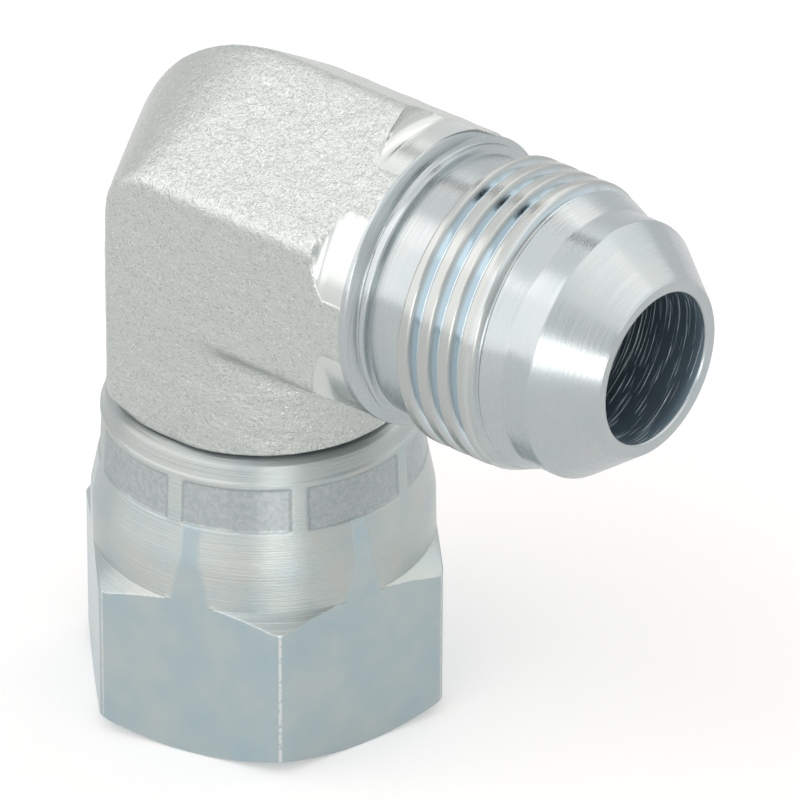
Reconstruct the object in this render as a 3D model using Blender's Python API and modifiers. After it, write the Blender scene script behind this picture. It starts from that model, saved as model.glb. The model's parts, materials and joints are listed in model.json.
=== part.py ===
"""Hydraulic elbow adapter: a 90 degree forged elbow with a male 37 degree flare end and a swivel nut.

The elbow is one steel forging with flat sides and a roof-shaped back. Its level arm is turned and
threaded 3/4-16. Its upright arm ends in a tail that sits inside a hexagon nut, and the nut's collar is
crimped over the shoulder of the tail, so that the nut turns but stays on. The nut stands on z = 0,
the level arm points along +X, and the flat sides of the forging face -Y and +Y.
"""

import math

import bpy

MM = 0.001

# Fits
RUNNING_GAP = 0.30 * MM     # between the nut and the tail, on every side
FUSE = 0.05 * MM            # how far a turned shape lies under a forged face that covers it
OVERCUT = 0.60 * MM         # how far a cutter runs past the metal that it removes
THREAD_OVERCUT = 0.20 * MM  # the same for a thread's cutter, whose turns must stay apart

# Thread, 3/4-16 UNF, shared by the male end and the nut
PITCH = 25.4 / 16 * MM
THREAD_RADIUS = 9.50 * MM   # crests of the male thread
THREAD_DEPTH = 0.68 * MM
ROOT_FLAT = 0.12 * MM
FLANK_ANGLE = math.radians(30)
NUT_MINOR_RADIUS = 8.65 * MM
NUT_THREAD_ROOM = 0.05 * MM  # nut's thread root outside the male crests
NUT_ROOT_FLAT = 0.20 * MM
GROOVE_WIND_ANGLE = math.radians(-24)   # where the male groove starts, so its turns lie as in the photograph

# Level arm: distances along +X from the upright axis
END_REACH = 31.75 * MM
NOSE_LENGTH = 3.55 * MM     # the 37 degree cone
NOSE_LAND = 1.90 * MM       # plain cylinder behind the cone
THREAD_CHAMFER = 2.60 * MM  # long lead-in slope, which the first turn of the thread runs into
THREAD_LENGTH = 4.85 * MM   # full crests
THREAD_RUNOUT = 0.55 * MM   # slope from the relief up to the first crest
RELIEF_LENGTH = 2.35 * MM
NOSE_RADIUS = 8.45 * MM
FLARE_ANGLE = math.radians(37)
RELIEF_RADIUS = 8.60 * MM
RING_RADIUS = 9.14 * MM     # narrow step between the relief and the collar
RING_LENGTH = 0.46 * MM
TURNED_FLANK = 0.11 * MM    # short slopes on both sides of the ring
COLLAR_RADIUS = 9.64 * MM   # turned down from the forging's round end
COLLAR_LENGTH = 0.97 * MM
COLLAR_LAP = 0.10 * MM      # how far the collar reaches back over the forging's end
CORNER_CUT_LENGTH = 1.40 * MM   # how far the same cut runs on over the forging's corners
TOOL_RADIUS = 1.0 * MM
MALE_ROOT_LENGTH = 5.0 * MM     # how far the turned end is one with the forging

# Forging
AXIS_RISE = 13.0 * MM       # foot to the level arm's axis
SIDE_DISTANCE = 9.50 * MM   # axis to each flat side
ROOF_DISTANCE = 9.55 * MM   # axis to each sloping face
ROOF_ANGLE = math.radians(34)
RIDGE_RADIUS = 1.0 * MM
SHOULDER_RADIUS = 0.8 * MM
HEEL_RADIUS = 13.5 * MM     # outer corner, along the ridge
HEEL_EDGE_RADIUS = 3.6 * MM # outer corner, along the edges of the flat sides
CROOK_RADIUS = 1.0 * MM     # inner corner
BOSS_RADIUS = 9.75 * MM     # round foot of the upright arm
FOOT_RIM_RADIUS = 9.62 * MM # edge of the foot's turned underside
BOSS_HEIGHT = 4.5 * MM
BOSS_TAPER_HEIGHT = 2.0 * MM
BOSS_TAPER = 0.9 * MM
FOOT_STOCK = 1.5 * OVERCUT  # how far the boss first runs on below the foot's face

# Passage
BORE_RADIUS = 4.95 * MM
DRILL_POINT = math.radians(59)  # half the angle of the drill's point
DRILL_PAST = 1.0 * MM       # how far each hole runs past the other's axis

# Nut
HEX_ACROSS = 22.225 * MM
HEX_ANGLE = math.radians(15)  # one corner's direction, as the nut stands in the photograph
HEX_CORNER_HEIGHT = 10.40 * MM
HEX_CHAMFER = math.radians(30)
HEX_FOOT_RADIUS = 11.05 * MM    # edge of the foot, where the chamfer on the six corners starts
NUT_HEIGHT = 21.75 * MM
BARREL_RADIUS = 11.135 * MM
BARREL_FOOT_RADIUS = 11.19 * MM
CRIMP_START = 14.3 * MM     # height at which the barrel begins to lean in
KNEE_HEIGHT = 16.9 * MM     # where the leaning part meets the steeper collar
KNEE_RADIUS = 10.62 * MM
CRIMP_END = 20.57 * MM
CRIMP_RADIUS = 10.42 * MM
LIP_RADIUS = 10.12 * MM
LIP_ROUND = 0.20 * MM
COUNTERBORE_RADIUS = 9.60 * MM
NUT_THREAD_LENGTH = 11.5 * MM
NUT_MOUTH_RADIUS = 9.75 * MM
CLAW_START = 17.0 * MM      # height at which the inside of the collar closes over the tail's shoulder

# Jaw marks of the crimping tool
JAW_COUNT = 8
JAW_LOW = 17.0 * MM
JAW_HEIGHT = 3.1 * MM
JAW_DEPTH = 0.11 * MM
JAW_RIB = math.radians(6.2)
JAW_ANGLE = math.radians(7)     # a rib's direction, short of the hexagon corner beside it

# Tail inside the nut
NECK_RADIUS = 7.95 * MM
FOOT_GAP = 0.45 * MM        # dark gap between the forging's foot and the nut's top face
TAIL_END_HEIGHT = 12.7 * MM
SEAT_RADIUS = 8.40 * MM     # mouth of the inner 37 degree seat
TAIL_CHAMFER = 0.30 * MM

# Facets
TURN_STEPS = 60
NUT_STEPS = 96
BORE_STEPS = 40
ROOF_STEPS = 8

# Worked out from the sizes above
THREAD_ROOT_RADIUS = THREAD_RADIUS - THREAD_DEPTH
NOSE_TIP_RADIUS = NOSE_RADIUS - NOSE_LENGTH * math.tan(FLARE_ANGLE)
CONE_START = END_REACH - NOSE_LENGTH
LAND_START = CONE_START - NOSE_LAND
THREAD_END = LAND_START - THREAD_CHAMFER
THREAD_START = THREAD_END - THREAD_LENGTH
RELIEF_END = THREAD_START - THREAD_RUNOUT
RELIEF_START = RELIEF_END - RELIEF_LENGTH
RING_END = RELIEF_START - TURNED_FLANK
RING_START = RING_END - RING_LENGTH
COLLAR_END = RING_START - TURNED_FLANK
FORGING_END = COLLAR_END - COLLAR_LENGTH
COLLAR_START = FORGING_END - COLLAR_LAP
CORNER_CUT_RADIUS = COLLAR_RADIUS + FUSE
FOOT_HEIGHT = NUT_HEIGHT + FOOT_GAP
AXIS_HEIGHT = FOOT_HEIGHT + AXIS_RISE
RIDGE_DISTANCE = (ROOF_DISTANCE - RIDGE_RADIUS) / math.cos(ROOF_ANGLE) + RIDGE_RADIUS
FORGING_REACH = RIDGE_DISTANCE + OVERCUT
HEX_CORNER_RADIUS = HEX_ACROSS / 2 / math.cos(math.pi / 6)
HEX_TOP = HEX_CORNER_HEIGHT + (HEX_CORNER_RADIUS - BARREL_FOOT_RADIUS) * math.tan(HEX_CHAMFER)
NUT_MAJOR_RADIUS = THREAD_RADIUS + NUT_THREAD_ROOM
NECK_HOLE_RADIUS = NECK_RADIUS + RUNNING_GAP
FLANGE_RADIUS = COUNTERBORE_RADIUS - RUNNING_GAP


def hexagon_reach():
    """How far the nut's corners reach along -X from its axis."""
    return max(-HEX_CORNER_RADIUS * math.cos(HEX_ANGLE + k * math.pi / 3) for k in range(6))


# The model's origin is under the middle of its own box, so the nut's axis lies a little towards -X
NUT_AXIS_X = (hexagon_reach() - END_REACH) / 2


def arc(centre, radius, start, end, steps):
    """Points on an arc in a plane, from one angle to the other."""
    points = []
    for k in range(steps + 1):
        angle = start + (end - start) * k / steps
        points.append((centre[0] + radius * math.cos(angle), centre[1] + radius * math.sin(angle)))
    return points


def clear_scene():
    for obj in list(bpy.data.objects):
        bpy.data.objects.remove(obj, do_unlink=True)


def add_collection(name):
    collection = bpy.data.collections.new(name)
    bpy.context.scene.collection.children.link(collection)
    return collection


def add_object(name, vertices, edges, faces, collection, frame):
    """A mesh object that hangs on the frame's empty, at the nut's axis."""
    mesh = bpy.data.meshes.new(name)
    mesh.from_pydata(vertices, edges, faces)
    mesh.update()
    obj = bpy.data.objects.new(name, mesh)
    collection.objects.link(obj)
    obj.parent = frame
    return obj


def as_tool(obj):
    """A shape that only cuts or joins another, and isn't a piece itself."""
    obj.hide_render = True
    obj.display_type = "WIRE"
    return obj


def lay_along_arm(obj):
    """Turns a shape whose axis is Z onto the axis of the level arm."""
    obj.rotation_euler = (0, math.pi / 2, 0)
    obj.location = (0, 0, AXIS_HEIGHT)
    return obj


def add_turned(name, profile, steps, collection, frame, closed=False):
    """A turned shape about Z: profile is (radius, height) points, from the top down its outer side."""
    vertices = [(radius, 0, height) for radius, height in profile]
    edges = [(k, k + 1) for k in range(len(profile) - 1)]
    if closed:
        edges.append((len(profile) - 1, 0))
    obj = add_object(name, vertices, edges, [], collection, frame)
    screw = obj.modifiers.new("turn", "SCREW")
    screw.axis = "Z"
    screw.steps = steps
    screw.render_steps = steps
    screw.use_merge_vertices = True
    screw.merge_threshold = 0.00001
    screw.use_smooth_shade = True
    return obj


def add_boolean(obj, tool, operation):
    boolean = obj.modifiers.new(tool.name, "BOOLEAN")
    boolean.operation = operation
    boolean.solver = "EXACT"
    boolean.object = tool


def add_helical_bar(name, section, start, end, phase, collection, frame):
    """A bar wound right-handed about Z: section is (radius, height offset) points, one ring a step."""
    count = math.ceil((end - start) / PITCH * TURN_STEPS)
    corners = len(section)
    vertices = []
    for k in range(count + 1):
        angle = phase + 2 * math.pi * k / TURN_STEPS
        rise = start + PITCH * k / TURN_STEPS
        for radius, offset in section:
            vertices.append((radius * math.cos(angle), radius * math.sin(angle), rise + offset))
    faces = [tuple(reversed(range(corners)))]
    for k in range(count):
        for c in range(corners):
            a = k * corners + c
            b = k * corners + (c + 1) % corners
            faces.append((a, b, b + corners, a + corners))
    faces.append(tuple(range(count * corners, (count + 1) * corners)))
    return as_tool(add_object(name, vertices, [], faces, collection, frame))


def groove_section(root_radius, mouth_radius, root_flat):
    """A thread groove's section, narrow at its root, for a cutter that runs past the mouth."""
    slope = math.tan(FLANK_ANGLE)
    half_root = root_flat / 2
    half_mouth = half_root + abs(mouth_radius - root_radius) * slope
    if mouth_radius > root_radius:
        return [
            (root_radius, -half_root),
            (root_radius, half_root),
            (mouth_radius, half_mouth),
            (mouth_radius, -half_mouth),
        ]
    return [
        (mouth_radius, -half_mouth),
        (mouth_radius, half_mouth),
        (root_radius, half_root),
        (root_radius, -half_root),
    ]


def add_material(name, colour, roughness):
    material = bpy.data.materials.new(name)
    material.use_nodes = True
    shader = material.node_tree.nodes["Principled BSDF"]
    shader.inputs["Base Color"].default_value = (*colour, 1)
    shader.inputs["Metallic"].default_value = 1.0
    shader.inputs["Roughness"].default_value = roughness
    return material


def roof_section():
    """(y, distance from the arm's axis) from beside the ridge's middle out to the flat side."""
    ridge_centre = (0, RIDGE_DISTANCE - RIDGE_RADIUS)
    shoulder_y = SIDE_DISTANCE - SHOULDER_RADIUS
    reach = ROOF_DISTANCE - SHOULDER_RADIUS
    shoulder = (shoulder_y, (reach - shoulder_y * math.sin(ROOF_ANGLE)) / math.cos(ROOF_ANGLE))
    upright = math.pi / 2
    ridge = arc(ridge_centre, RIDGE_RADIUS, upright - ROOF_ANGLE / 5, upright - ROOF_ANGLE, 2)
    edge = arc(shoulder, SHOULDER_RADIUS, upright - ROOF_ANGLE, 0, 5)
    (y0, d0), (y1, d1) = ridge[-1], edge[0]
    shares = [k / ROOF_STEPS for k in range(1, ROOF_STEPS)]
    return ridge + [(y0 + (y1 - y0) * t, d0 + (d1 - d0) * t) for t in shares] + edge


def elbow_outline(y, distance):
    """The L in the plane at y: its sides lie at one distance from the arms' axes, but for the round boss."""
    edge_distance = roof_section()[-1][1]
    share = (distance - edge_distance) / (RIDGE_DISTANCE - edge_distance)
    heel_radius = HEEL_EDGE_RADIUS + (HEEL_RADIUS - HEEL_EDGE_RADIUS) * share
    heel_centre = heel_radius - distance
    boss_x = math.sqrt((BOSS_RADIUS - FUSE) ** 2 - y ** 2)
    crook = (boss_x + CROOK_RADIUS, AXIS_HEIGHT - distance - CROOK_RADIUS)
    points = [(FORGING_END, AXIS_HEIGHT + distance)]
    points += arc((heel_centre, AXIS_HEIGHT - heel_centre), heel_radius, math.pi / 2, math.pi, 9)
    points += [(-distance, FOOT_HEIGHT - OVERCUT), (boss_x, FOOT_HEIGHT - OVERCUT)]
    points += arc(crook, CROOK_RADIUS, math.pi, math.pi / 2, 3)
    points.append((FORGING_END, AXIS_HEIGHT - distance))
    return points


def add_forging(collection, frame):
    """The forged L: outlines at successive y, lofted from one flat side over the ridges to the other."""
    half = roof_section()
    levels = [(-y, distance) for y, distance in reversed(half)] + half
    outlines = [elbow_outline(y, distance) for y, distance in levels]
    count = len(outlines[0])
    vertices = []
    for (y, _), outline in zip(levels, outlines):
        vertices += [(x, y, z) for x, z in outline]
    faces = [tuple(range(count))]
    for level in range(len(levels) - 1):
        for k in range(count):
            a = level * count + k
            b = level * count + (k + 1) % count
            faces.append((a, a + count, b + count, b))
    last = (len(levels) - 1) * count
    faces.append(tuple(reversed(range(last, last + count))))
    obj = add_object("elbow_body", vertices, [], faces, collection, frame)
    obj.data.shade_smooth()
    obj.data.set_sharp_from_angle(angle=math.radians(30))
    return obj


def add_boss(collection, frame):
    """The round foot, held inside the two flat sides."""
    side = SIDE_DISTANCE - FUSE
    levels = [
        (BOSS_RADIUS, FOOT_HEIGHT - FOOT_STOCK),
        (BOSS_RADIUS, FOOT_HEIGHT + BOSS_HEIGHT),
        (BOSS_RADIUS - BOSS_TAPER, FOOT_HEIGHT + BOSS_HEIGHT + BOSS_TAPER_HEIGHT),
    ]
    vertices = []
    for radius, height in levels:
        for k in range(TURN_STEPS):
            angle = 2 * math.pi * k / TURN_STEPS
            y = max(-side, min(side, radius * math.sin(angle)))
            vertices.append((radius * math.cos(angle), y, height))
    faces = [tuple(reversed(range(TURN_STEPS)))]
    for level in range(len(levels) - 1):
        for k in range(TURN_STEPS):
            a = level * TURN_STEPS + k
            b = level * TURN_STEPS + (k + 1) % TURN_STEPS
            faces.append((a, b, b + TURN_STEPS, a + TURN_STEPS))
    top = (len(levels) - 1) * TURN_STEPS
    faces.append(tuple(range(top, top + TURN_STEPS)))
    return as_tool(add_object("boss", vertices, [], faces, collection, frame))


def add_corner_turning(collection, frame):
    """The ring of space that the collar's turning cut sweeps out of the forging's corners."""
    outside = FORGING_REACH
    cut_start = FORGING_END - CORNER_CUT_LENGTH
    profile = [(outside, FORGING_END + OVERCUT), (outside, cut_start - TOOL_RADIUS)]
    centre = (CORNER_CUT_RADIUS + TOOL_RADIUS, cut_start)
    profile += arc(centre, TOOL_RADIUS, 1.5 * math.pi, math.pi, 4)
    profile.append((CORNER_CUT_RADIUS, FORGING_END + OVERCUT))
    ring = add_turned("corner_turning", profile, TURN_STEPS, collection, frame, closed=True)
    return as_tool(lay_along_arm(ring))


def add_foot_turning(collection, frame):
    """The space under the foot's flat face and under the chamfer that makes its edge round."""
    outside = FORGING_REACH
    profile = [
        (0, FOOT_HEIGHT),
        (FOOT_RIM_RADIUS, FOOT_HEIGHT),
        (outside, FOOT_HEIGHT + outside - FOOT_RIM_RADIUS),
        (outside, FOOT_HEIGHT - 2 * OVERCUT),
        (0, FOOT_HEIGHT - 2 * OVERCUT),
    ]
    return as_tool(add_turned("foot_turning", profile, TURN_STEPS, collection, frame))


def add_male_end(collection, frame):
    """Collar, ring, relief, thread and nose, turned in one piece, and the groove that makes the thread."""
    root = FORGING_END - MALE_ROOT_LENGTH
    profile = [
        (0, END_REACH),
        (NOSE_TIP_RADIUS, END_REACH),
        (NOSE_RADIUS, CONE_START),
        (NOSE_RADIUS, LAND_START),
        (THREAD_RADIUS, THREAD_END),
        (THREAD_RADIUS, THREAD_START),
        (RELIEF_RADIUS, RELIEF_END),
        (RELIEF_RADIUS, RELIEF_START),
        (RING_RADIUS, RING_END),
        (RING_RADIUS, RING_START),
        (COLLAR_RADIUS, COLLAR_END),
        (COLLAR_RADIUS, COLLAR_START),
        (RELIEF_RADIUS, COLLAR_START),
        (RELIEF_RADIUS, root),
        (0, root),
    ]
    blank = add_turned("male_end", profile, TURN_STEPS, collection, frame)
    section = groove_section(THREAD_ROOT_RADIUS, THREAD_RADIUS + THREAD_OVERCUT, ROOT_FLAT)
    start = RELIEF_START + RELIEF_LENGTH / 2
    end = LAND_START + PITCH / 2
    groove = add_helical_bar("male_groove", section, start, end, GROOVE_WIND_ANGLE, collection, frame)
    return as_tool(lay_along_arm(blank)), lay_along_arm(groove)


def add_tail(collection, frame):
    """Neck and shoulder inside the nut. The shoulder's slope lies one gap under the crimped claw."""
    slope_sum = COUNTERBORE_RADIUS + CLAW_START - RUNNING_GAP * math.sqrt(2)
    profile = [
        (0, FOOT_HEIGHT + BOSS_HEIGHT / 2),
        (NECK_RADIUS, FOOT_HEIGHT + BOSS_HEIGHT / 2),
        (NECK_RADIUS, slope_sum - NECK_RADIUS),
        (FLANGE_RADIUS, slope_sum - FLANGE_RADIUS),
        (FLANGE_RADIUS, TAIL_END_HEIGHT + TAIL_CHAMFER),
        (FLANGE_RADIUS - TAIL_CHAMFER, TAIL_END_HEIGHT),
        (0, TAIL_END_HEIGHT),
    ]
    return as_tool(add_turned("tail", profile, TURN_STEPS, collection, frame))


def drilled_profile(mouth, bottom):
    """A drilled hole from its mouth at the top down to a pointed bottom."""
    return [
        (0, mouth),
        (BORE_RADIUS, mouth),
        (BORE_RADIUS, bottom),
        (0, bottom - BORE_RADIUS / math.tan(DRILL_POINT)),
    ]


def add_level_bore(collection, frame):
    profile = drilled_profile(END_REACH + OVERCUT, -DRILL_PAST)
    return as_tool(lay_along_arm(add_turned("level_bore", profile, BORE_STEPS, collection, frame)))


def add_upright_bore(collection, frame):
    """The hole up the tail, which opens at the bottom into the 37 degree seat."""
    slope = math.tan(FLARE_ANGLE)
    top = AXIS_HEIGHT + DRILL_PAST
    mouth = TAIL_END_HEIGHT - OVERCUT
    profile = [
        (0, top + BORE_RADIUS / math.tan(DRILL_POINT)),
        (BORE_RADIUS, top),
        (BORE_RADIUS, TAIL_END_HEIGHT + (SEAT_RADIUS - BORE_RADIUS) / slope),
        (SEAT_RADIUS + OVERCUT * slope, mouth),
        (0, mouth),
    ]
    return as_tool(add_turned("upright_bore", profile, BORE_STEPS, collection, frame))


def add_nut(collection, tools, frame):
    """Hexagon bar, turned outside, bored, threaded and crimped."""
    bpy.ops.mesh.primitive_cylinder_add(vertices=6, radius=HEX_CORNER_RADIUS, depth=NUT_HEIGHT)
    nut = bpy.context.object
    nut.name = "swivel_nut"
    for holder in list(nut.users_collection):
        holder.objects.unlink(nut)
    collection.objects.link(nut)
    nut.parent = frame
    nut.location = (0, 0, NUT_HEIGHT / 2)
    nut.rotation_euler = (0, 0, HEX_ANGLE - math.pi / 2)
    add_boolean(nut, add_nut_turning(tools, frame), "INTERSECT")
    add_boolean(nut, add_jaw_marks(tools, frame), "DIFFERENCE")
    add_boolean(nut, add_nut_bore(tools, frame), "DIFFERENCE")
    section = groove_section(NUT_MAJOR_RADIUS, NUT_MINOR_RADIUS - THREAD_OVERCUT, NUT_ROOT_FLAT)
    end = NUT_THREAD_LENGTH + PITCH / 2
    groove = add_helical_bar("nut_groove", section, -PITCH, end, 0, tools, frame)
    add_boolean(nut, groove, "DIFFERENCE")
    return nut


def add_nut_turning(collection, frame):
    """The outside of the nut as the lathe and the crimping tool leave it."""
    outside = HEX_CORNER_RADIUS + OVERCUT
    top_centre = (LIP_RADIUS - LIP_ROUND, NUT_HEIGHT - LIP_ROUND)
    profile = [(0, NUT_HEIGHT)]
    profile += arc(top_centre, LIP_ROUND, math.pi / 2, 0, 3)
    profile += [
        (CRIMP_RADIUS, CRIMP_END),
        (KNEE_RADIUS, KNEE_HEIGHT),
        (BARREL_RADIUS, CRIMP_START),
        (BARREL_FOOT_RADIUS, HEX_TOP),
        (outside, HEX_TOP - (outside - BARREL_FOOT_RADIUS) * math.tan(HEX_CHAMFER)),
        (outside, (outside - HEX_FOOT_RADIUS) * math.tan(HEX_CHAMFER)),
        (HEX_FOOT_RADIUS, 0),
        (0, 0),
    ]
    return as_tool(add_turned("nut_turning", profile, NUT_STEPS, collection, frame))


def crimp_radius_at(height):
    """Radius of the steep part of the crimped collar at a height."""
    share = (height - KNEE_HEIGHT) / (CRIMP_END - KNEE_HEIGHT)
    return KNEE_RADIUS + (CRIMP_RADIUS - KNEE_RADIUS) * share


def add_jaw_marks(collection, frame):
    """The shallow panels that the eight jaws press in, with a narrow rib left between two jaws."""
    low = JAW_LOW
    high = JAW_LOW + JAW_HEIGHT
    section = [
        (crimp_radius_at(low) - JAW_DEPTH, low),
        (crimp_radius_at(low) + OVERCUT, low),
        (crimp_radius_at(high) + OVERCUT, high),
        (crimp_radius_at(high) - JAW_DEPTH, high),
    ]
    steps = NUT_STEPS // JAW_COUNT
    width = 2 * math.pi / JAW_COUNT - JAW_RIB
    vertices = []
    faces = []
    for jaw in range(JAW_COUNT):
        first = HEX_ANGLE - JAW_ANGLE + JAW_RIB / 2 + jaw * 2 * math.pi / JAW_COUNT
        base = len(vertices)
        for k in range(steps + 1):
            angle = first + width * k / steps
            vertices += [(r * math.cos(angle), r * math.sin(angle), z) for r, z in section]
        faces.append(tuple(base + c for c in range(4)))
        for k in range(steps):
            for c in range(4):
                a = base + 4 * k + c
                b = base + 4 * k + (c + 1) % 4
                faces.append((a, a + 4, b + 4, b))
        faces.append(tuple(base + 4 * steps + c for c in reversed(range(4))))
    return as_tool(add_object("jaw_marks", vertices, [], faces, collection, frame))


def add_nut_bore(collection, frame):
    """The space inside the nut: neck hole, claw, counterbore for the shoulder, minor bore and mouth."""
    mouth_depth = NUT_MOUTH_RADIUS - NUT_MINOR_RADIUS
    profile = [
        (0, NUT_HEIGHT + OVERCUT),
        (NECK_HOLE_RADIUS, NUT_HEIGHT + OVERCUT),
        (NECK_HOLE_RADIUS, CLAW_START + COUNTERBORE_RADIUS - NECK_HOLE_RADIUS),
        (COUNTERBORE_RADIUS, CLAW_START),
        (COUNTERBORE_RADIUS, NUT_THREAD_LENGTH),
        (NUT_MINOR_RADIUS, NUT_THREAD_LENGTH),
        (NUT_MINOR_RADIUS, mouth_depth),
        (NUT_MOUTH_RADIUS + OVERCUT, -OVERCUT),
        (0, -OVERCUT),
    ]
    return as_tool(add_turned("nut_bore", profile, TURN_STEPS, collection, frame))


clear_scene()
pieces = add_collection("hydraulic_elbow_adapter")
tools = add_collection("shaping_tools")
frame = bpy.data.objects.new("nut_axis", None)
pieces.objects.link(frame)
frame.location = (NUT_AXIS_X, 0, 0)

elbow = add_forging(pieces, frame)
add_boolean(elbow, add_boss(tools, frame), "UNION")
add_boolean(elbow, add_corner_turning(tools, frame), "DIFFERENCE")
add_boolean(elbow, add_foot_turning(tools, frame), "DIFFERENCE")
male_end, male_groove = add_male_end(tools, frame)
add_boolean(elbow, male_end, "UNION")
add_boolean(elbow, add_tail(tools, frame), "UNION")
add_boolean(elbow, add_level_bore(tools, frame), "DIFFERENCE")
add_boolean(elbow, add_upright_bore(tools, frame), "DIFFERENCE")
add_boolean(elbow, male_groove, "DIFFERENCE")
elbow.data.materials.append(add_material("zinc_plated_forging", (0.56, 0.60, 0.60), 0.45))

nut = add_nut(pieces, tools, frame)
nut.data.materials.append(add_material("zinc_plated_nut", (0.60, 0.63, 0.63), 0.30))
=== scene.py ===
"""Looks of a hydraulic elbow adapter: a zinc-plated forged elbow with a male 37 degree flare end, and a
crimped swivel nut that it stands on, on a white table.

Lengths are in millimetres from the foot of the nut's axis: +Z up that axis, +X along the threaded arm.
"""

import json
import math

import bpy
import mathutils
import numpy as np
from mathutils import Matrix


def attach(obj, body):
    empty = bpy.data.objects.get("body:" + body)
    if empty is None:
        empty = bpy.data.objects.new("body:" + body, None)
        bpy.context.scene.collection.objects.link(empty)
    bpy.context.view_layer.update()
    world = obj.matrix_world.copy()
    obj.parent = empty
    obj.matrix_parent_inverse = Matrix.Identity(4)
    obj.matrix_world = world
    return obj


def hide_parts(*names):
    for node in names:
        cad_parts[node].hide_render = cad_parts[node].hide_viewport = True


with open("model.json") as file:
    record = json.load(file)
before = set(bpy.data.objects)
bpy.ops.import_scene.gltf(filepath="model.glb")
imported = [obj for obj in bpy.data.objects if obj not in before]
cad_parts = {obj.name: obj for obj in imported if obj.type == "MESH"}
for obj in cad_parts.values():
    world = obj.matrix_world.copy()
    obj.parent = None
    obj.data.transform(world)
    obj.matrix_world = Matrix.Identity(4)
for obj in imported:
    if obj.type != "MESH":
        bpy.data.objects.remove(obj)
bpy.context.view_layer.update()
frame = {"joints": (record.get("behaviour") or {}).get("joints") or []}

# Forged elbow. A drop forging of low-carbon steel with flat sides and a roof-shaped back and belly. It was
# shot-blasted and zinc plated, so its skin is finely pitted and its edges are soft. Where the collar was
# turned, the tool also cut bright hollows out of its four corners.
MM = 0.001
NUT_AXIS_X = frame["joints"][0]["pos_m"][0] / MM     # the shared frame's X there
FOOT_HEIGHT = 22.2
AXIS_HEIGHT = 35.2          # of the threaded arm
COLLAR_BACK = 14.3          # where the forged skin ends and the turned end begins
COLLAR_RADIUS = 9.65
SIDE_REACH = 9.5            # axis to flat side
ROOF_REACH = 9.55           # axis to sloping face
ROOF_TILT = math.radians(34)
RIDGE_REACH = 11.31
EDGE_REACH = 5.12           # where a sloping face would meet the flat side, measured down from the ridge
HEEL_RIDGE_RADIUS = 13.5    # outer corner of the L, along the ridge and along the sides' edges
HEEL_EDGE_RADIUS = 3.6
EDGE_SOFTNESS = 0.55        # rounding of the forging's edges
CROOK_SOFTNESS = 0.9        # and of its inner corner
FOOT_SOFTNESS = 0.12        # and of the line between the bend and the round foot
RIDGE_SOFTNESS = 0.093      # square millimetres that round off the ridge
WAVE_HEIGHT = 0.09          # of the skin's uneven flow
UNFILLED_DEPTH = 0.3        # the metal didn't quite fill the die at the heel: how deep, where and how wide
UNFILLED_X, UNFILLED_LEVEL, UNFILLED_REACH = -10.2, 3.0, 4.0
BOSS_RADIUS = 9.75          # round foot and round inner side of the upright arm
BOSS_TOP = FOOT_HEIGHT + 4.5
BOSS_TAPER = 0.45           # how much its radius shrinks for each millimetre above that, until it ends
BOSS_END = BOSS_TOP + 2.0
FOOT_RADIUS = 9.62
CUT_START = 12.9            # the collar's turning tool leaves the corners from here, by its own radius
CUT_RADIUS = 1.0
CUT_EDGE = 0.04             # width over which a cut's finish gives way to the skin's
BORE_RADIUS = 4.95
DRILL_PAST = 1.0            # how far each drilled hole runs past the other's axis
DRILL_SLOPE = math.tan(math.radians(59))    # of the usual 118 degree point
SKIN_COLUMNS = 360
SKIN_ROWS = 226
BORE_ROWS = 12
FAN_SHARES = [0, 0.1, 0.86, 1]              # of the rows, and how far the sections have turned there
FAN_TILTS = np.radians([0, 5, 83.5, 90])
SEARCH_REACH = 26.0         # further out than any of the skin
SEARCH_STEPS = 26
SHARP_ANGLE = math.radians(40)              # faces that meet at more than this keep a crisp edge


def soft_max(a, b, softness):
    """The greater of two fields, rounded off where they are closer together than the softness."""
    blend = np.maximum(softness - np.abs(a - b), 0) / softness
    return np.maximum(a, b) + blend * blend * softness / 4


def heel_distance(x, z):
    """Distance D of a point from the two arms' axes, on its outer side. Outside the corner it is the
    greater of -x and z. In the corner, the point lies on a circle of radius a + b D whose centre is that
    radius less D inside both sides, which gives a quadratic in D."""
    b = (HEEL_RIDGE_RADIUS - HEEL_EDGE_RADIUS) / (RIDGE_REACH - EDGE_REACH)
    a = HEEL_EDGE_RADIUS - b * EDGE_REACH
    m = b - 1
    square = 2 * m * m - b * b
    linear = 4 * a * m + 2 * m * (z - x) - 2 * a * b
    constant = a * a + 2 * a * (z - x) + x * x + z * z
    root = np.sqrt(np.maximum(linear * linear - 4 * square * constant, 0))
    corner = (-linear - root) / (2 * square)
    centre = a + m * corner
    inside = (x < centre) & (z > -centre) & (corner > EDGE_REACH / 2)
    return np.where(inside, corner, np.maximum(-x, z))


def waviness(x, y, z):
    """Uneven flow of the hot metal, 0 to 1: products of slow waves that run across each other. The
    factors of x, y and z are in radians a millimetre."""
    slow = np.sin(0.9 * x + 1.7 * z) * np.sin(1.3 * y - 0.8 * x) * np.cos(1.1 * z + 0.6 * y)
    quick = np.sin(3.1 * x - 2.3 * y) * np.cos(2.9 * z + 1.2 * y)
    small = np.sin(6.3 * x + 4.1 * z) * np.sin(7.2 * z - 3.3 * x + 5.1 * y) * np.cos(6.7 * y - 2.2 * x)
    return 0.5 + 0.25 * slow + 0.1 * quick + 0.15 * small


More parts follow.
